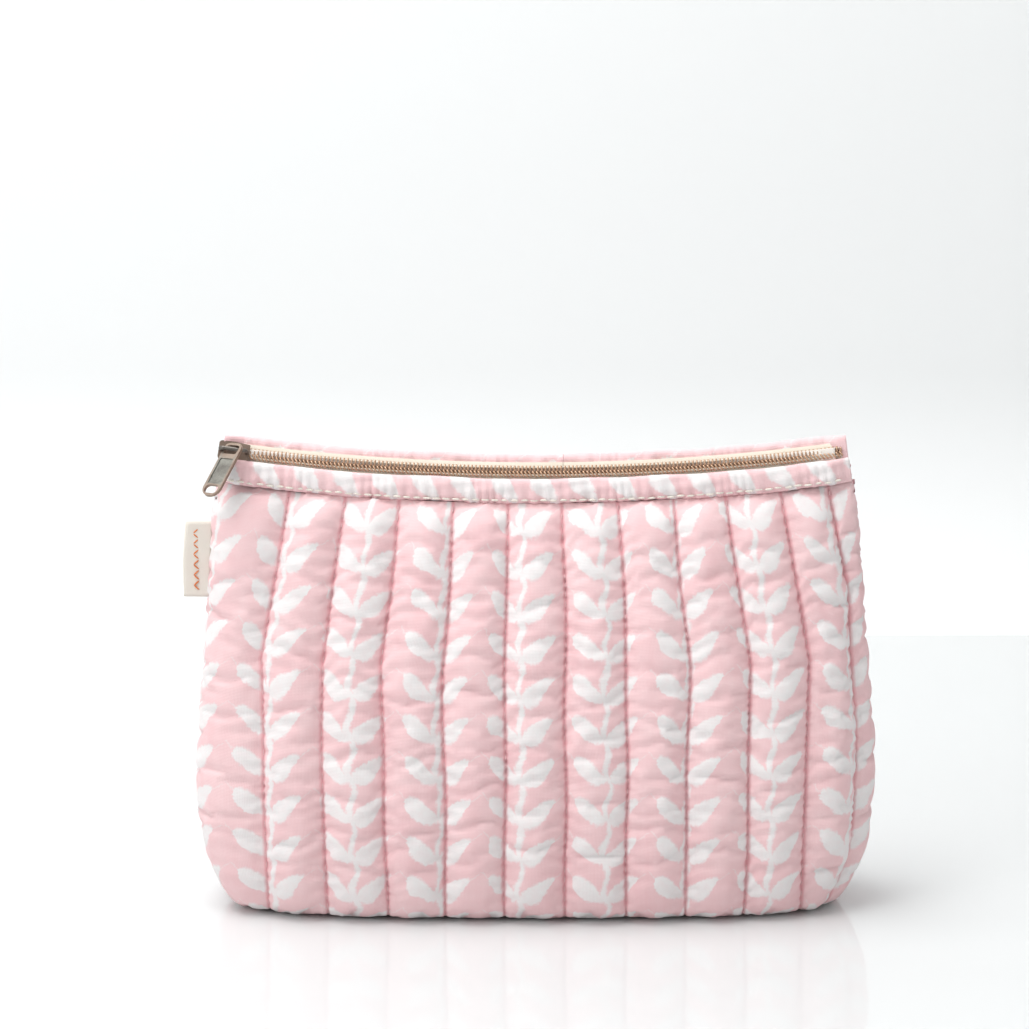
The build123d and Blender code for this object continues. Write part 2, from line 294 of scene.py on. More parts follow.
class Material:
    """A node material built on its Principled shader."""

    def __init__(self, name):
        self.material = bpy.data.materials.new(name)
        self.material.use_nodes = True
        self.tree = self.material.node_tree
        self.shader = self.tree.nodes["Principled BSDF"]
        Maths.tree = self.tree

    def set(self, **values):
        names = {"roughness": "Roughness", "metallic": "Metallic", "sheen": "Sheen Weight",
                 "specular": "Specular IOR Level", "sheen_roughness": "Sheen Roughness",
                 "coat": "Coat Weight"}
        for key, value in values.items():
            self.shader.inputs[names[key]].default_value = value

    def coords(self):
        node = self.tree.nodes.new("ShaderNodeTexCoord")
        return node.outputs["Object"]

    def cloth_uv(self, layer="cloth"):
        """The two coordinates of a cloth layer, in millimetres."""
        node = self.tree.nodes.new("ShaderNodeUVMap")
        node.uv_map = layer
        split = self.tree.nodes.new("ShaderNodeSeparateXYZ")
        self.tree.links.new(node.outputs[0], split.inputs[0])
        return Maths(split.outputs[0]), Maths(split.outputs[1])

    def stretched(self, x, y, z):
        """Object coordinates squeezed along an axis, for noise that runs with the threads."""
        node = self.tree.nodes.new("ShaderNodeVectorMath")
        node.operation = "MULTIPLY"
        self.tree.links.new(self.coords(), node.inputs[0])
        node.inputs[1].default_value = (x, y, z)
        return node.outputs[0]

    def noise(self, scale, detail, vector=None):
        node = self.tree.nodes.new("ShaderNodeTexNoise")
        node.inputs["Scale"].default_value = scale
        node.inputs["Detail"].default_value = detail
        self.tree.links.new(vector or self.coords(), node.inputs["Vector"])
        return Maths(node.outputs[0])

    def mix(self, fac, a, b):
        node = self.tree.nodes.new("ShaderNodeMix")
        node.data_type = "RGBA"
        fac = fac.value if isinstance(fac, Maths) else fac
        if isinstance(fac, (int, float)):
            node.inputs[0].default_value = fac
        else:
            self.tree.links.new(fac, node.inputs[0])
        for socket, item in ((node.inputs[6], a), (node.inputs[7], b)):
            if isinstance(item, tuple):
                socket.default_value = (*item, 1.0)
            else:
                self.tree.links.new(item, socket)
        return node.outputs[2]

    def link(self, socket, target):
        socket = socket.value if isinstance(socket, Maths) else socket
        self.tree.links.new(socket, self.shader.inputs[target])

    def bump(self, height, strength, distance):
        node = self.tree.nodes.new("ShaderNodeBump")
        node.inputs["Strength"].default_value = strength
        node.inputs["Distance"].default_value = distance
        self.tree.links.new(height.value, node.inputs["Height"])
        self.tree.links.new(node.outputs[0], self.shader.inputs["Normal"])


def weave(s, t, pitch):
    """Plain weave: over and under threads, from 0 to 1."""
    a, b = (s * (pi / pitch)).sin(), (t * (pi / pitch)).sin()
    return (a * b).abs()


PINK, PINK_DEEP, PINK_FADED = (0.85, 0.565, 0.58), (0.82, 0.51, 0.53), (0.93, 0.76, 0.765)
CREAM, CREAM_DULL = (0.84, 0.82, 0.82), (0.83, 0.79, 0.785)
# the deeper pink painted along the quilting lines: painted shade in the quilted valleys
SEAM_SHADE_PINK = (0.70, 0.30, 0.33)
VINE_PITCH, LEAF_PITCH, VINE_START = 26.8, 12.6, -4.9


def leaf_print(m, s, t):
    """Mask of the block print: upright vines with pairs of pointed leaves."""
    rough = m.noise(1300, 3) - 0.5
    slow = m.noise(120, 2) - 0.5
    s = s + rough * 1.5 + slow * 3.0
    t = t + (m.noise(900, 3) - 0.5) * 1.6 + slow * 2.0
    bend = (t * (2 * pi / LEAF_PITCH)).sin() * 0.75
    dx = (s - VINE_START + bend).wrap(-VINE_PITCH / 2, VINE_PITCH / 2)
    side = dx.sign()
    rise = (t + side * 0.35).wrap(-3.6, LEAF_PITCH - 3.6)
    out = dx.abs()
    # each leaf leaves the stem outwards and curves up to its point
    curve = out * out * 0.022 + out * 0.40
    along = (out - 0.1) / 10.4
    span = (along.clamp() * (1.0 - along.clamp()) * 4.0).power(0.62)
    half = span * (3.2 + slow * 2.4) * (0.98 + along * 0.08)
    leaf = (half - (rise - curve).abs()).step(-0.4, 0.5)
    stem = (1.05 + slow * 1.6 - out).step(-0.3, 0.5)
    return leaf.max(stem)


def printed_cotton(name, quilted):
    """Block-printed cotton. Where it is quilted, a deeper pink is painted along the stitching as painted
    shade in the quilted valleys.
    """
    m = Material(name)
    s, t = m.cloth_uv()
    mask = leaf_print(m, s, t)
    threads = weave(s, t, 0.42)
    upright = m.noise(260, 3, m.stretched(1, 1, 0.08))
    level = m.noise(260, 3, m.stretched(0.1, 1, 1))
    slub = upright * 0.5 + level * 0.5
    wear = m.noise(520, 4).step(0.3, 0.72)
    patch = m.noise(38, 3)
    pigment = m.mix(patch.step(0.35, 0.7), PINK, PINK_DEEP)
    pigment = m.mix((threads * 0.2 + slub.step(0.35, 0.7) * 0.28), pigment, PINK_FADED)
    pale = m.mix(slub.step(0.3, 0.75) * 0.5 + threads * 0.2, CREAM, CREAM_DULL)
    colour = m.mix(mask * (0.84 + wear * 0.16), pigment, pale)
    if quilted:
        # painted shade: within about a millimetre of each quilting line the colour turns to the deeper
        # pink, where the valleys lie in shade
        near, _ = m.cloth_uv("seams")
        line = 1.0 - near.step(0.15, 1.0)
        colour = m.mix(line * 0.8, colour, SEAM_SHADE_PINK)
    m.link(colour, "Base Color")
    m.link(0.84 + threads * 0.1, "Roughness")
    m.bump(threads + m.noise(600, 3) * 0.9, 0.35, 0.00018)
    m.set(sheen=0.12, sheen_roughness=0.5, specular=0.18)
    return m.material


def plain_cloth(name, colour, dark, pitch=0.5, uv=True, strength=0.4):
    m = Material(name)
    if uv:
        s, t = m.cloth_uv()
        threads = weave(s, t, pitch)
    else:
        threads = m.noise(1500, 3)
    patch = m.noise(60, 3)
    tone = m.mix(patch.step(0.3, 0.75) * 0.7 + threads * 0.3, colour, dark)
    m.link(tone, "Base Color")
    m.link(0.82 + patch * 0.12, "Roughness")
    m.bump(threads + m.noise(900, 3) * 0.5, strength, 0.0002)
    m.set(sheen=0.1, specular=0.18)
    return m.material


def thread(name, colour, dark):
    m = Material(name)
    s, t = m.cloth_uv()
    twist = (t * 9.0 + s * 2.0).sin() * 0.5 + 0.5
    m.link(m.mix(twist, dark, colour), "Base Color")
    m.link(0.6 + m.noise(800, 2) * 0.25, "Roughness")
    m.bump(twist, 0.5, 0.00008)
    m.set(specular=0.3, sheen=0.1)
    return m.material


def nylon_coil(name):
    """Tan nylon with a faint metallic lustre."""
    m = Material(name)
    patch = m.noise(300, 3)
    m.link(m.mix(patch.step(0.3, 0.75), (0.60, 0.385, 0.25), (0.42, 0.25, 0.155)), "Base Color")
    m.link(0.26 + patch * 0.2, "Roughness")
    m.bump(m.noise(2500, 2), 0.12, 0.00004)
    m.set(specular=0.6, metallic=0.35, coat=0.2)
    return m.material


def antique_brass(name, high, low):
    """Darkened metal, with copper showing where its edges are rubbed."""
    m = Material(name)
    broad, fine = m.noise(260, 4), m.noise(1600, 3)
    geometry = m.tree.nodes.new("ShaderNodeNewGeometry")
    edge = Maths(geometry.outputs["Pointiness"]).step(0.52, 0.6)
    tone = m.mix((broad * 0.7 + fine * 0.3).step(0.35, 0.62), low, high)
    m.link(m.mix(edge * 0.6, tone, (0.36, 0.25, 0.19)), "Base Color")
    m.link(0.3 + broad * 0.25, "Roughness")
    m.bump(fine + broad, 0.18, 0.00005)
    m.set(metallic=0.9, specular=0.5)
    return m.material


COTTON = printed_cotton("printed_cotton", True)
BINDING = printed_cotton("binding_cotton", False)
LINING = plain_cloth("lining_cotton", (0.86, 0.80, 0.745), (0.80, 0.73, 0.67))
WADDING = plain_cloth("wadding_fleece", (0.9, 0.89, 0.87), (0.82, 0.81, 0.79), uv=False)
TAPE = plain_cloth("zip_tape_twill", (0.84, 0.765, 0.66), (0.76, 0.68, 0.57), 0.35)
LABEL = plain_cloth("label_cotton", (0.86, 0.80, 0.735), (0.80, 0.73, 0.65), 0.3)
QUILT_THREAD = thread("quilting_thread", (0.80, 0.56, 0.56), (0.62, 0.36, 0.37))
TOP_THREAD = thread("topstitch_thread", (0.93, 0.89, 0.82), (0.82, 0.75, 0.66))
MOTIF_THREAD = thread("motif_thread", (0.83, 0.27, 0.09), (0.66, 0.18, 0.05))
COIL = nylon_coil("coil_nylon")
BRASS = antique_brass("antique_brass", (0.21, 0.19, 0.17), (0.09, 0.08, 0.07))
PULL_BRASS = antique_brass("puller_brass", (0.27, 0.265, 0.235), (0.15, 0.14, 0.125))


# ---------- quilted panels ----------

def plan_curve(side, heights, inset):
    """Level outlines from the left seam to the right seam: many points on every row."""
    half = smooth_interp(heights, LEVELS, HALF_WIDTHS) - inset
    depth = smooth_interp(heights, LEVELS, DEPTHS[side]) - inset
    square = np.interp(heights, [0, 60, 140], [0.94, 0.76, 0.64])
    u = np.linspace(0, 1, 161)
    b0, b1, b2, b3 = (1 - u) ** 3, 3 * u * (1 - u) ** 2, 3 * u**2 * (1 - u), u**3
    x = half[:, None] * (b0 + b1 + square[:, None] * b2)
    y = depth[:, None] * (0.72 * b1 + b2 + b3)
    x = np.concatenate([-x, x[:, -2::-1]], axis=1)
    y = np.concatenate([y, y[:, -2::-1]], axis=1) * side
    return x, y


def panel_columns(per_channel):
    """Where each column stands between its two lines, crowded towards the stitching."""
    inside = (1 - np.cos(np.linspace(0, pi, per_channel + 1))) / 2
    even = np.linspace(0, 1, per_channel + 1)
    return 0.55 * inside + 0.45 * even


def panel_grid(side, inset, rows, per_channel, puff, top):
    """A quilted panel in millimetres: its points, and its cloth and seam coordinates."""
    foot = np.linspace(0, 1, 9)[:-1] * pi / 2
    rise = np.linspace(FOOT_ROUND, 150, rows)
    base = np.concatenate([FOOT_ROUND - FOOT_ROUND * np.cos(foot), rise])
    tuck = np.concatenate([FOOT_ROUND - FOOT_ROUND * np.sin(foot), np.zeros(rows)])
    heights = 0.25 + base * (zip_height(0.0, top) - 0.25) / 150
    x, y = plan_curve(side, heights, inset)
    lengths = np.concatenate([np.zeros((len(x), 1)), np.cumsum(np.hypot(
        np.diff(x, axis=1), np.diff(y, axis=1)), axis=1)], axis=1)
    pitch = np.interp(heights, *LINE_PITCH)
    marks = [np.zeros(len(heights))]
    for k, line in enumerate(LINES):
        wobble = 0.55 * waves(heights, 0 * heights + 40 * k, 30 + k + side, 70)
        at = np.minimum(line * pitch + wobble, x.max(axis=1) - 5.0)
        marks.append(np.array([np.interp(at[r], x[r, :], lengths[r, :]) for r in range(len(x))]))
    marks.append(lengths[:, -1])
    marks = np.array(marks)
    spread = panel_columns(per_channel)
    along, channel, part = [], [], []
    for c in range(len(marks) - 1):
        steps = spread if c == len(marks) - 2 else spread[:-1]
        for f in steps:
            along.append(marks[c] + f * (marks[c + 1] - marks[c]))
            channel.append(c)
            part.append(f)
    along = np.array(along).T
    gx = np.array([np.interp(along[r], lengths[r], x[r]) for r in range(len(x))])
    gy = np.array([np.interp(along[r], lengths[r], y[r]) for r in range(len(x))])
    sag = zip_height(gx, top) - zip_height(0.0, top)
    gz = heights[:, None] + sag * (heights[:, None] / heights[-1]) ** 2
    gy = gy * np.where(np.abs(gy) > 1, 1 - tuck[:, None] / np.maximum(np.abs(gy), 8), 1)
    gx = gx * (1 - 0.25 * tuck[:, None] * smoothstep((np.abs(gx) - 60) / 40) / np.maximum(np.abs(gx), 1))
    grid = np.stack([gx, gy, gz], -1)
    part = np.array(part)[None, :]
    channel = np.array(channel)
    width = (marks[1:] - marks[:-1])[channel].T
    arch = 1 - np.abs(2 * part - 1) ** 2.3
    edge = smoothstep((heights[-1] - heights[:, None]) / 9) * (0.35 + 0.65 * smoothstep(
        (heights[:, None] - 1) / 14))
    flat = along - lengths[:, -1:] / 2
    middle_row = np.argmin(np.abs(heights - 75))
    s = np.broadcast_to(flat[middle_row], flat.shape)
    t = np.concatenate([[0], np.cumsum(np.hypot(np.diff(heights), np.diff(tuck)))])[:, None] + 0 * flat
    near = np.minimum(part, 1 - part) * width
    seed = 5 if side == FRONT else 6
    ripple = np.sin(2 * pi * t / 4.1 + 5 * waves(s, t, seed + 10, 26)) * np.exp(-near / 3.0)
    ripple = ripple * (0.35 + 0.65 * smoothstep(0.5 + waves(s, t, seed + 20, 30)))
    crease = waves(s, t * 0.45, seed + 30, 11) * 0.22 + waves(s * 0.5, t, seed + 40, 6) * 0.1
    puffed = puff * (0.55 + 0.45 * np.clip(width / 20, 0, 1.3)) * arch * edge
    puffed = puffed * (1 + 0.16 * waves(s, t, seed + 50, 45))
    puffed = puffed + (0.3 * ripple + crease * arch) * edge * min(puff, 1.5)
    valley = 0.9 * np.exp(-((near / 0.8) ** 2)) * edge * min(1, puff)
    n = normals_of(grid)
    if side == BACK:
        n = -n
    grid = grid + n * (puffed - valley - 0.9 * min(puff, 1))[..., None]
    grid[..., 2] = np.maximum(grid[..., 2], 0.05)
    grid[:, 0, 1] = grid[:, -1, 1] = 0
    return grid, np.stack([s, t, near, 0 * near], -1)


def back_halves(name, grid, uv, thickness, material, split, flip, nodes):
    """The back's pieces come in two halves that meet in one quilting line."""
    halves = []
    meet = float(np.mean(grid[:, split, 0]))
    for word, part, seam in (("left", slice(0, split + 1), -1), ("right", slice(split, None), 1)):
        piece = sheet_mesh(f"{name}_{word}", grid[:, part], uv[:, part], thickness, material, flip)
        bend(piece, seam, meet)
        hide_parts(*nodes)
        halves.append(piece)
    return halves


def bend(piece, seam, meet):
    """Bakes the piece's placement into its mesh."""
    seam * SEAM_REACH * MM
    meet * MM
    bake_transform(piece)


def inflate(grid, per_channel, side):
    """Cloth simulation of one quilted panel: held along every line of stitching and along its
    foot and top, slightly too large for its frame, and blown outwards by the wadding. It runs
    at ten times the real size, where the solver is steady, and no point moves by over 2.6 mm."""
    scale, frames, most = 10, 14, 2.6
    rows, cols = grid.shape[:2]
    pad = make("panel_in_simulation", grid.reshape(-1, 3) * scale,
               grid_faces(rows, cols, 0, side == BACK), WADDING)
    ids = np.arange(rows * cols).reshape(rows, cols)
    lines, foot, edge = ids[:, ::per_channel], ids[:3], ids[-1]
    held = np.unique(np.concatenate([lines.ravel(), foot.ravel(), edge]))
    pins = pad.vertex_groups.new(name="stitched")
    pins.add(held.tolist(), 1.0, "REPLACE")
    cloth = pad.modifiers.new("cloth", "CLOTH")
    settings = cloth.settings
    settings.quality = 6
    settings.mass = 0.25
    settings.tension_stiffness = settings.compression_stiffness = 12
    settings.shear_stiffness = 4
    settings.bending_stiffness = 0.12
    settings.air_damping = 3
    settings.vertex_group_mass = "stitched"
    settings.shrink_min = -0.05
    settings.use_pressure = True
    settings.uniform_pressure_force = 5
    settings.effector_weights.gravity = 0
    cloth.collision_settings.use_collision = False
    cloth.point_cache.frame_start, cloth.point_cache.frame_end = 1, frames
    scene = bpy.context.scene
    for frame_number in range(1, frames + 1):
        scene.frame_set(frame_number)
    shaped = pad.evaluated_get(bpy.context.evaluated_depsgraph_get()).to_mesh()
    points = np.empty(rows * cols * 3, dtype=np.float32)
    shaped.vertices.foreach_get("co", points)
    scene.frame_set(1)
    bpy.data.objects.remove(pad)
    move = points.reshape(rows, cols, 3) / (scale * MM) - grid
    length = np.linalg.norm(move, axis=-1, keepdims=True)
    return grid + move * np.minimum(1, most / np.maximum(length, 1e-6))


outer = {}
for side, top in ((FRONT, FRONT_TOP), (BACK, BACK_TOP)):
    puff = SEWN_PUFF
    grid, uv = panel_grid(side, 0, ROWS, PER_CHANNEL, puff, top)
    grid = inflate(grid, PER_CHANNEL, side)
    grid[..., 2] = np.maximum(grid[..., 2], 0.05)
    outer[side] = grid, uv
split = (SPLIT_LINE + 1) * PER_CHANNEL

grid, uv = outer[FRONT]
front_cloth = sheet_mesh("front_quilted_cloth", grid, uv, 0.5, COTTON)
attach(front_cloth, ROOT)
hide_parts("front_outer", "front_wadding")

grid, uv = outer[BACK]
for piece in back_halves("back_quilted_cloth", grid, uv, 0.5, COTTON, split, True,
                         ("back_outer", "back_wadding")):
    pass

for side, name, top in ((FRONT, "front_lining_cloth", FRONT_TOP), (BACK, "back_lining_cloth", BACK_TOP)):
    grid, uv = panel_grid(side, LINING_INSET, LINING_ROWS, LINING_PER_CHANNEL, LINING_PUFF,
                          top + LINING_RISE)
    grid[..., 2] = np.maximum(grid[..., 2], LINING_FLOOR)
    if side == FRONT:
        lining = sheet_mesh(name, grid, uv, 0.4, LINING)
        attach(lining, ROOT)
        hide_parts("front_lining")
    else:
        back_halves(name, grid, uv, 0.4, LINING, (SPLIT_LINE + 1) * LINING_PER_CHANNEL, True,
                    ("back_lining",))


# ---------- base ----------

def base_grid(inset, height, rows, drop=0.0):
    """A level sheet inside the foot of the panels: rows from front to back."""
    v = np.linspace(-1, 1, rows)
    columns = 150
    u = np.linspace(-1, 1, columns)
    half = 94.5 - inset
    x = half * np.broadcast_to(u, (rows, columns)) * (1 - 0.05 * (v[:, None] ** 8))
    reach = (29 - inset) * (1 - 0.22 * np.abs(u) ** 9)
    y = reach[None, :] * v[:, None]
    z = np.full_like(x, height)
    phase = x / BASE_LINE_PITCH + 0.5
    puff = np.abs(np.sin(pi * phase)) ** 0.7
    z = z + drop * puff
    return np.stack([x, y, z], -1), np.stack([x, y], -1)


grid, uv = base_grid(8.5, 0.9, 60, -0.7)
base_cloth = sheet_mesh("base_quilted_cloth", grid, uv, 0.5, COTTON, True)
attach(base_cloth, ROOT)
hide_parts("base_outer", "base_wadding")
grid, uv = base_grid(5.0, 4.9, 60, 0.8)
base_lining = sheet_mesh("base_lining_cloth", grid, uv, 0.4, LINING)
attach(base_lining, ROOT)
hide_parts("base_lining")


# ---------- bindings, tapes, coils ----------

def binding_grid(face, top, left, right, seed):
    """A strip folded over the panel's edge: across it from the outer hem over the top and
    down inside, along it gathered into small puckers."""
    side = np.sign(face)
    across = np.linspace(0, 1, 34)
    height, width = BINDING_HEIGHT, BINDING_WIDTH
    path_y, path_z = [], []
    for f in across:
        if f < 0.42:
            k = f / 0.42
            path_y.append(0.5 * sin(pi * k) ** 0.8)
            path_z.append(-height + k * (height - width / 2))
        elif f < 0.62:
            a = (f - 0.42) / 0.2 * pi
            path_y.append(-width / 2 + width / 2 * cos(a))
            path_z.append(-width / 2 + width / 2 * sin(a))
        else:
            k = (f - 0.62) / 0.38
            path_y.append(-width)
            path_z.append(-width / 2 - k * (height - width / 2))
    path_y, path_z = np.array(path_y), np.array(path_z)
    x = np.linspace(left, right, int((right - left) * 2.2))
    run = np.concatenate([[0], np.cumsum(np.hypot(np.diff(path_y), np.diff(path_z)))])
    pucker = (0.30 * np.sin(2 * pi * x / 3.3 + 4 * waves(x, 0 * x, seed, 30))
              + 0.22 * waves(x, 0 * x, seed + 1, 5))
    hem = np.exp(-(((run[:, None] - 1.2) / 2.4) ** 2))
    along, over = x[None, :] + 0 * run[:, None], run[:, None] + 0 * x[None, :]
    body = 0.30 * waves(along, run[:, None] * 1.5 + 0 * x[None, :], seed + 2, 9)
    stitched = 0.45 * np.exp(-(((over - 0.9) / 0.5) ** 2))
    tucked = 0.9 * np.exp(-(over / 0.35) ** 2)
    out = path_y[:, None] + pucker[None, :] * (0.35 + 0.65 * hem) + body - stitched - tucked
    up = path_z[:, None] + 0.25 * waves(along, 0 * over + 3, seed + 3, 24)
    ends = towards_end(x)
    y = face + side * out
    y = y + (side * 1.25 + side * out * 0.38 - y) * ends[None, :]
    points = beside_zip(np.broadcast_to(x, y.shape), y, top + up)
    # the print runs along the strip, so the vines lie on their side
    start, stretch = (9.8, 0.9) if side == FRONT else (9.6, 0.63)
    uv = np.stack([VINE_START + start + side * stretch * over, np.broadcast_to(x, y.shape)], -1)
    return points, uv


def stitches(name, centres, directions, length, radius, material, rise):
    """Short threads, each a low arch over the cloth."""
    paths = []
    for centre, direction in zip(centres, directions):
        direction = direction / np.linalg.norm(direction)
        steps = np.linspace(-0.5, 0.5, 5)
        lift = np.cos(steps * pi)[:, None] * rise
        paths.append(centre + steps[:, None] * length * direction + lift)
    return tube_mesh(name, paths, radius, material, sides=6)


def topstitch_row(name, face, top, left, right, material):
    """The row of stitches along a binding's hem."""
    side = np.sign(face)
    x = np.arange(left + 1.5, right - 1.5, TOPSTITCH_PITCH)
    ends = towards_end(x)
    y = face + side * 0.5 + (side * 1.75 - face) * ends
    up = top - TOPSTITCH_DROP + 0.12 * np.sin(x)
    centres = beside_zip(x, y, up)
    ahead = beside_zip(x + 1, y, up)
    rise = np.array([0, side * 0.22, 0])
    return stitches(name, centres, ahead - centres, 2.7, 0.38, material, rise)


points, uv = binding_grid(FRONT_FACE, FRONT_EDGE, -BINDING_END, BINDING_END, BINDING_SEED)
front_binding = sheet_mesh("front_edge_binding", points, uv, 0.45, BINDING, True)
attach(front_binding, ROOT)
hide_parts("front_binding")
row = topstitch_row("front_edge_stitches", FRONT_FACE, FRONT_EDGE, -98, 98, TOP_THREAD)
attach(row, ROOT)
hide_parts("front_topstitch")

MEET = float(np.mean(outer[BACK][0][:, split, 0]))
for word, seam, left, right in (("left", -1, -BINDING_END, MEET), ("right", 1, MEET, BINDING_END)):
    points, uv = binding_grid(BACK_FACE, BACK_EDGE, left, right, BINDING_SEED)
    piece = sheet_mesh(f"back_edge_binding_{word}", points, uv, 0.45, BINDING)
    row = topstitch_row(f"back_edge_stitches_{word}", BACK_FACE, BACK_EDGE, left, right, TOP_THREAD)
    for item, node, slot in ((piece, "back_binding", "printed_cotton"),
                             (row, "back_topstitch", "topstitch_thread")):
        bend(item, seam, MEET)
        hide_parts(node)


def coil_path(side, left, right):
    """A flattened spiral: its heads meet the other coil's in the middle of the zip."""
    turns = (right - left) / COIL_PITCH
    a = np.linspace(0, 2 * pi * turns, int(turns * 15))
    x = left + a / (2 * pi) * COIL_PITCH + 0.28 * np.cos(a) * side
    across = side * (0.88 - 0.80 * np.cos(a))
    out = 0.12 + 0.48 * np.sin(a)
    return zip_point(x, across, out)


def tape_grid(side, hem, top, left, right):
    """A zip tape: flat under its coil, then folded down inside the binding."""
    tape_face = -0.6
    stops = [(side * 0.1, tape_face), (side * 1.6, tape_face), (side * 3.2, tape_face)]
    y = [a * cos(ZIP_TILT) - o * sin(ZIP_TILT) for a, o in stops]
    z = [a * sin(ZIP_TILT) + o * cos(ZIP_TILT) for a, o in stops]
    y += [0.5 * (y[-1] + hem), hem, hem, hem]
    z += [top + 0.1, top - 0.6, top - 3.5, top - 7.0]
    y, z = np.array(y), np.array(z)
    x = np.linspace(left, right, int(right - left))
    run = np.concatenate([[0], np.cumsum(np.hypot(np.diff(y), np.diff(z)))])
    along, y, z, run = np.broadcast_arrays(x, y[:, None], z[:, None], run[:, None])
    return beside_zip(along, y, z), np.stack([along, run], -1)


def zip_side(word, side, left, right):
    """One side of the zip: its coil, the cord inside the coil, and its tape."""
    coil = tube_mesh(f"{word}_zip_coil", [coil_path(side, left, right)], COIL_RADIUS, COIL,
                     sides=7)
    core = zip_point(np.linspace(left, right, 90), side * 1.25, 0.12)
    cord = tube_mesh(f"{word}_zip_core", [core], 0.3, TAPE, sides=8)
    hem = -1.0 if side == FRONT else 2.9
    top = FRONT_EDGE if side == FRONT else BACK_EDGE - 2.0
    points, uv = tape_grid(side, hem, top, left, right)
    tape = sheet_mesh(f"{word}_zip_tape_cloth", points, uv, 0.25, TAPE, side == FRONT)
    return coil, cord, tape


coil, cord, tape = zip_side("front", FRONT, ZIP_LEFT, ZIP_RIGHT)
for item in (coil, cord, tape):
    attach(item, ROOT)
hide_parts("front_coil")
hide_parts("front_zip_tape")
for word, seam, left, right in (("back_left", -1, ZIP_LEFT, MEET), ("back_right", 1, MEET, ZIP_RIGHT)):
    coil, cord, tape = zip_side(word, BACK, left, right)
    for item in (coil, cord, tape):
        bend(item, seam, MEET)
    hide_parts("back_coil")
    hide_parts("back_zip_tape")


# ---------- quilting stitches ----------

def quilting_rows(side):
    """Places and directions of the stitches in each line of a panel, numbered by line."""
    grid = outer[side][0]
    n = normals_of(grid) * (1 if side == FRONT else -1)
    rows = []
    for k in range(len(LINES)):
        column = (k + 1) * PER_CHANNEL
        line, normal = grid[:, column], n[:, column]
        reach = np.concatenate([[0], np.cumsum(np.linalg.norm(np.diff(line, axis=0), axis=1))])
        at = np.arange(4, reach[-1] - 2, 3.4)
        centres = np.stack([np.interp(at, reach, line[:, i]) for i in range(3)], -1)
        ahead = np.stack([np.interp(at + 1, reach, line[:, i]) for i in range(3)], -1)
        out = np.stack([np.interp(at, reach, normal[:, i]) for i in range(3)], -1)
        rows.append((k, centres + out * 0.12, ahead - centres))
    return rows


def quilting_piece(name, rows):
    centres = np.concatenate([r[1] for r in rows])
    directions = np.concatenate([r[2] for r in rows])
    side = np.sign(centres[:, 1].mean())
    piece = stitches(name, centres, directions, 2.1, 0.2, QUILT_THREAD, np.array([0, side * 0.1, 0]))
    return piece


front_rows = quilting_piece("front_quilting_stitches", quilting_rows(FRONT))
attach(front_rows, ROOT)
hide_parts("front_quilting")
rows = quilting_rows(BACK)
for word, seam, chosen in (("left", -1, [r for r in rows if r[0] <= SPLIT_LINE]),
                           ("right", 1, [r for r in rows if r[0] > SPLIT_LINE])):
    piece = quilting_piece(f"back_quilting_stitches_{word}", chosen)
    bend(piece, seam, MEET)
    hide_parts("back_quilting")


# ---------- label and inner seams ----------

def label_grid():
    """A folded tab: out from the side seam, round its fold and back."""
    rows = 26
    z = np.linspace(101.2, 125.8, rows)
    reach = 8.6
    f = np.linspace(0, 1, 21)
    half = 0.42
    x = np.where(f < 0.45, -f / 0.45 * reach, np.where(f > 0.55, -(1 - f) / 0.45 * reach, -reach))
    x = x - np.where((f >= 0.45) & (f <= 0.55), 0.3 * np.sin((f - 0.45) / 0.1 * pi), 0)
    y = half * np.cos(np.clip((f - 0.42) / 0.16, 0, 1) * pi)
    edge = -(smooth_interp(z, LEVELS, HALF_WIDTHS)) + 0.8
    gx = np.maximum(edge[:, None] + x[None, :], -113.9)
    gy = -0.6 - y[None, :] + 0.35 * np.sin(z / 7)[:, None] * (np.abs(x)[None, :] / reach)
    gz = z[:, None] + 0 * x[None, :]
    return np.stack([gx, gy, gz], -1), np.stack([np.broadcast_to(x, gx.shape), gz], -1)


points, uv = label_grid()
label = sheet_mesh("label_cloth_tab", points, uv, 0.22, LABEL)
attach(label, ROOT)
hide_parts("label_tab")
marks, ways = [], []
for z in np.arange(105, 123, 3.4):
    for dz in (-1, 1):
        marks.append((-109.7, -1.32, z + 0.75 * dz))
        ways.append((1.0, 0, 0.9 * dz))
motif = stitches("label_chevron_stitches", np.array(marks), np.array(ways), 2.2, 0.24,
                 MOTIF_THREAD, np.array([0, -0.12, 0]))
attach(motif, ROOT)


FIN_WIDTH, FIN_STEPS = 4.0, 18


def side_fin(sign, z):
    """The bound allowance of a side seam: a flat upright roll inside the bag."""
    across = np.linspace(0, 1, FIN_STEPS)
    angle = (across * 2 * pi)[None, :]
    x = sign * (smooth_interp(z, LEVELS, HALF_WIDTHS) - 12)[:, None] + FIN_WIDTH * np.cos(angle)
    y = -0.95 + 0.62 * np.sin(angle) + 0.15 * np.sin(z)[:, None]
    grid = np.stack([x, y, z[:, None] + 0 * angle], -1)
    return grid, np.stack([np.broadcast_to(across * 18, grid.shape[:2]), grid[..., 2]], -1)


def corner_fin(sign, y):
    """The bound allowance of a boxed corner: a flat roll lying on the base's lining."""
    across = np.linspace(0, 1, FIN_STEPS)
    angle = (across * 2 * pi)[None, :]
    x = sign * 80 + FIN_WIDTH * np.cos(angle) + 0 * y[:, None]
    z = 5.9 + 0.6 * np.sin(angle) + 0.1 * np.sin(y)[:, None]
    grid = np.stack([x, y[:, None] + 0 * angle, z], -1)
    return grid, np.stack([np.broadcast_to(across * 18, grid.shape[:2]), grid[..., 1]], -1)


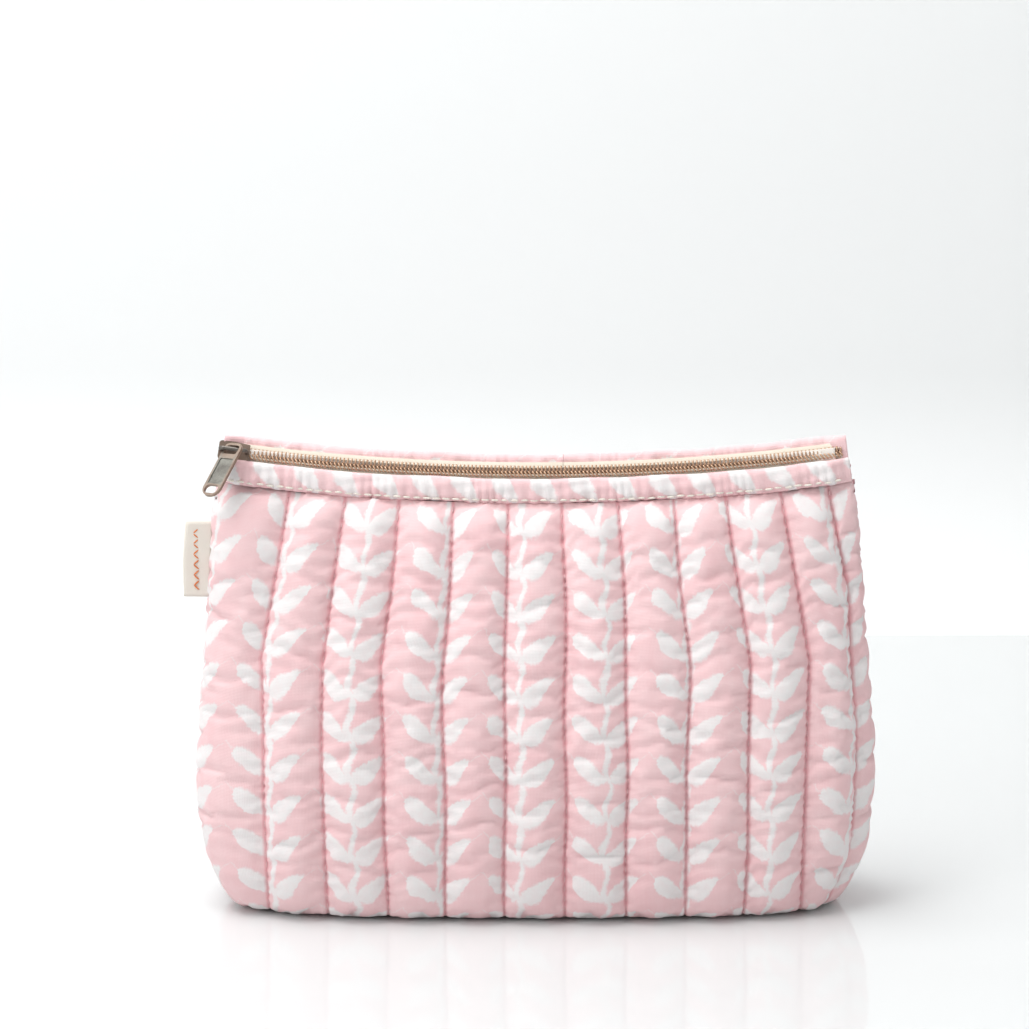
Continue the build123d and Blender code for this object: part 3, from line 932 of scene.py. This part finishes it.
for word, sign in (("left", -1), ("right", 1)):
    for name, node, (grid, uv), flip in (
            ("side_seam_binding", "side_seam", side_fin(sign, np.linspace(18, 112, 60)), False),
            ("corner_seam_binding", "corner_seam", corner_fin(sign, np.linspace(-15.8, 15.8, 40)), True)):
        fin = sheet_mesh(f"{name}_{word}", grid, uv, 0.3, LINING, flip)
        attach(fin, ROOT)
        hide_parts(f"{node}_{word}")


# ---------- metal ----------

for node, material in (("slider_body", BRASS), ("slider_bail", BRASS), ("puller", PULL_BRASS)):
    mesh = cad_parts[node].data
    for index in range(len(mesh.materials)):
        mesh.materials[index] = material


# ---------- floor, light and camera ----------

def stage_material(name, colour, roughness):
    """A plain surface of one colour."""
    m = Material(name)
    m.shader.inputs["Base Color"].default_value = (*colour, 1)
    m.set(roughness=roughness, specular=0.5)
    return m.material


def sweep_stage():
    """A level floor that curves up into an upright backdrop behind the bag."""
    turn, back, tall, wide = 0.12, 0.42, 2.2, 3.0
    profile = [(-wide, 0.0), (back, 0.0)]
    profile += [(back + turn * sin(a), turn - turn * cos(a)) for a in np.linspace(0, pi / 2, 13)[1:]]
    profile.append((back + turn, tall))
    mesh = bpy.data.meshes.new("floor")
    points = [(x, y, z) for y, z in profile for x in (-wide, wide)]
    faces = [(2 * k, 2 * k + 1, 2 * k + 3, 2 * k + 2) for k in range(len(profile) - 1)]
    mesh.from_pydata(points, [], faces)
    mesh.polygons.foreach_set("use_smooth", [True] * len(faces))
    mesh.materials.append(stage_material("floor_acrylic", (0.70, 0.712, 0.714), 0.06))
    mesh.materials.append(stage_material("backdrop_paper", (0.80, 0.81, 0.812), 0.9))
    mesh.polygons.foreach_set("material_index", [0] + [1] * (len(faces) - 1))
    piece = bpy.data.objects.new("floor", mesh)
    bpy.context.scene.collection.objects.link(piece)


sweep_stage()


def area_light(name, place, aim, size, power):
    """A white rectangular light, turned towards a point."""
    data = bpy.data.lights.new(name, "AREA")
    data.shape = "RECTANGLE"
    data.size, data.size_y = size
    data.energy = power
    lamp = bpy.data.objects.new(name, data)
    lamp.location = place
    lamp.rotation_euler = (Vector(aim) - Vector(place)).to_track_quat("-Z", "Y").to_euler()
    bpy.context.scene.collection.objects.link(lamp)


area_light("top_softbox", (-0.35, -0.1, 1.3), (0, 0, 0.05), (1.0, 0.8), 14)
area_light("left_softbox", (-1.3, -0.9, 0.9), (0, 0, 0.08), (0.7, 0.9), 8)
area_light("right_fill", (1.4, -0.8, 0.6), (0, 0, 0.08), (1.2, 1.2), 1.2)

world = bpy.data.worlds.new("studio")
world.use_nodes = True
background = world.node_tree.nodes["Background"]
background.inputs["Color"].default_value = (0.92, 0.935, 0.93, 1)
background.inputs["Strength"].default_value = 0.66
bpy.context.scene.world = world
bpy.context.scene.view_settings.view_transform = "Standard"

LENS, DISTANCE, ELEVATION = 85, 0.785, radians(9)
AIM = (-0.0067, 0.0, 0.128)
camera_data = bpy.data.cameras.new("camera")
camera_data.lens = LENS
camera_data.clip_start = 0.01
camera = bpy.data.objects.new("camera", camera_data)
camera.location = (AIM[0], AIM[1] - DISTANCE * cos(ELEVATION), AIM[2] + DISTANCE * sin(ELEVATION))
camera.rotation_euler = (pi / 2 - ELEVATION, 0, 0)
bpy.context.scene.collection.objects.link(camera)
bpy.context.scene.camera = camera
